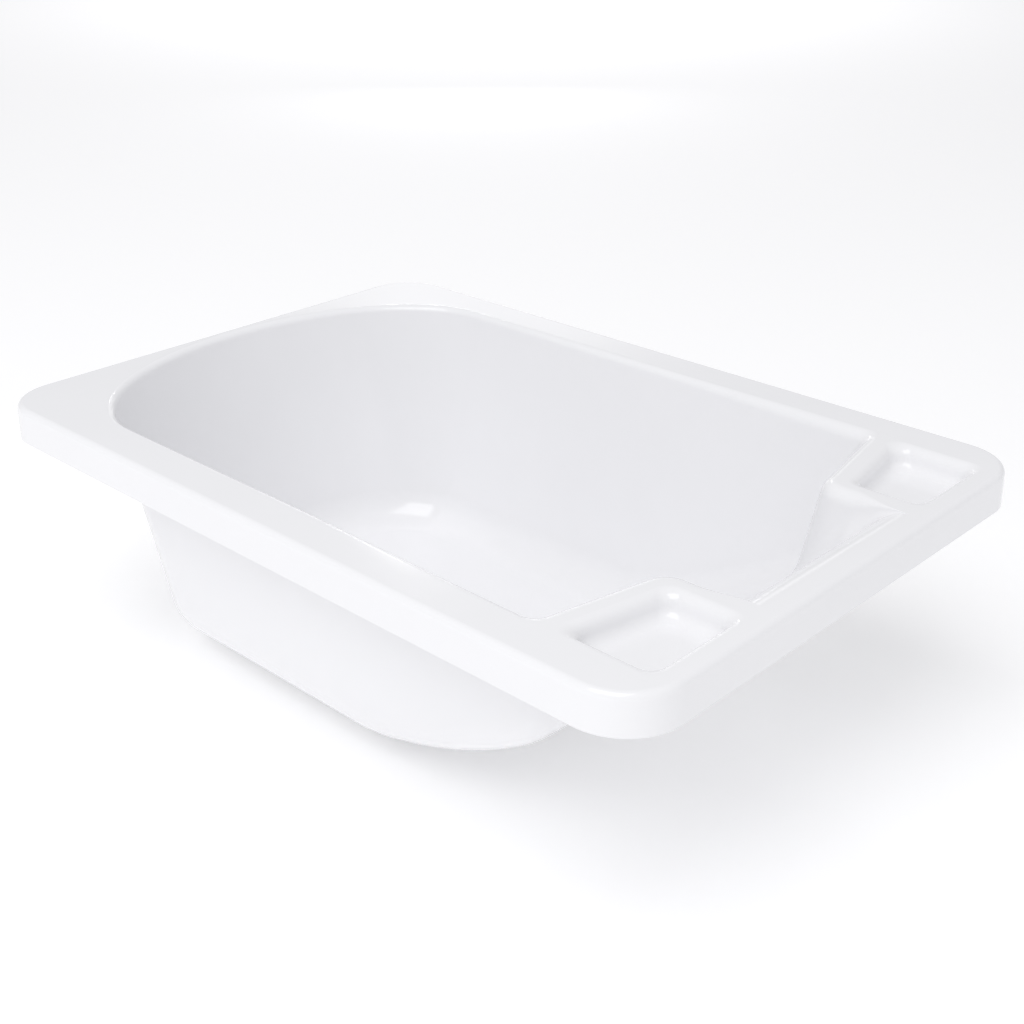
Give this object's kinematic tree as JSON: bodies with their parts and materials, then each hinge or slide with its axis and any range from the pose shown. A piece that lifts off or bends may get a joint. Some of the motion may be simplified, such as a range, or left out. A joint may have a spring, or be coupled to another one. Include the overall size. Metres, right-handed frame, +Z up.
{
  "type": "baby bathtub",
  "caption": "Moulded plastic baby bathtub with a flat rim, rounded deep end, sloping backrest, corner soap dishes and a plugged floor drain.",
  "frame": {"origin": "on the ground under the middle of the tub's outline, level with the bottom of the feet", "axes": "+X along the tub towards the sloping backrest and soap dishes, +Y to the tub's left side seen from the deep end, +Z up"},
  "size_m": [0.8022, 0.5522, 0.273],
  "materials": {
    "tub_white": "smooth semi-gloss white polypropylene",
    "drain_white": "smooth white plastic",
    "gasket_grey": "matte grey rubber",
    "nut_white": "satin off-white plastic",
    "plug_white": "smooth white plastic",
    "seal_grey": "matte grey rubber",
    "ring_white": "smooth white plastic"
  },
  "bodies": {
    "tub": {"tub_shell": "tub_white", "drain_flange": "drain_white", "flange_gasket": "gasket_grey", "nut_washer": "gasket_grey", "drain_nut": "nut_white"},
    "plug": {"drain_plug": "plug_white", "plug_seal": "seal_grey"},
    "pull_ring": {"plug_pull_ring": "ring_white"}
  },
  "joints": [
    {"name": "plug_lift", "type": "slide", "parent": "tub", "child": "plug", "axis": [0, 0, 1], "range_m": [0, 0.29]},
    {"name": "ring_hinge", "type": "hinge", "parent": "plug", "child": "pull_ring", "pos_m": [-0.16, 0, 0.0344], "axis": [0, -1, 0], "range_deg": [0, 175]}
  ]
}
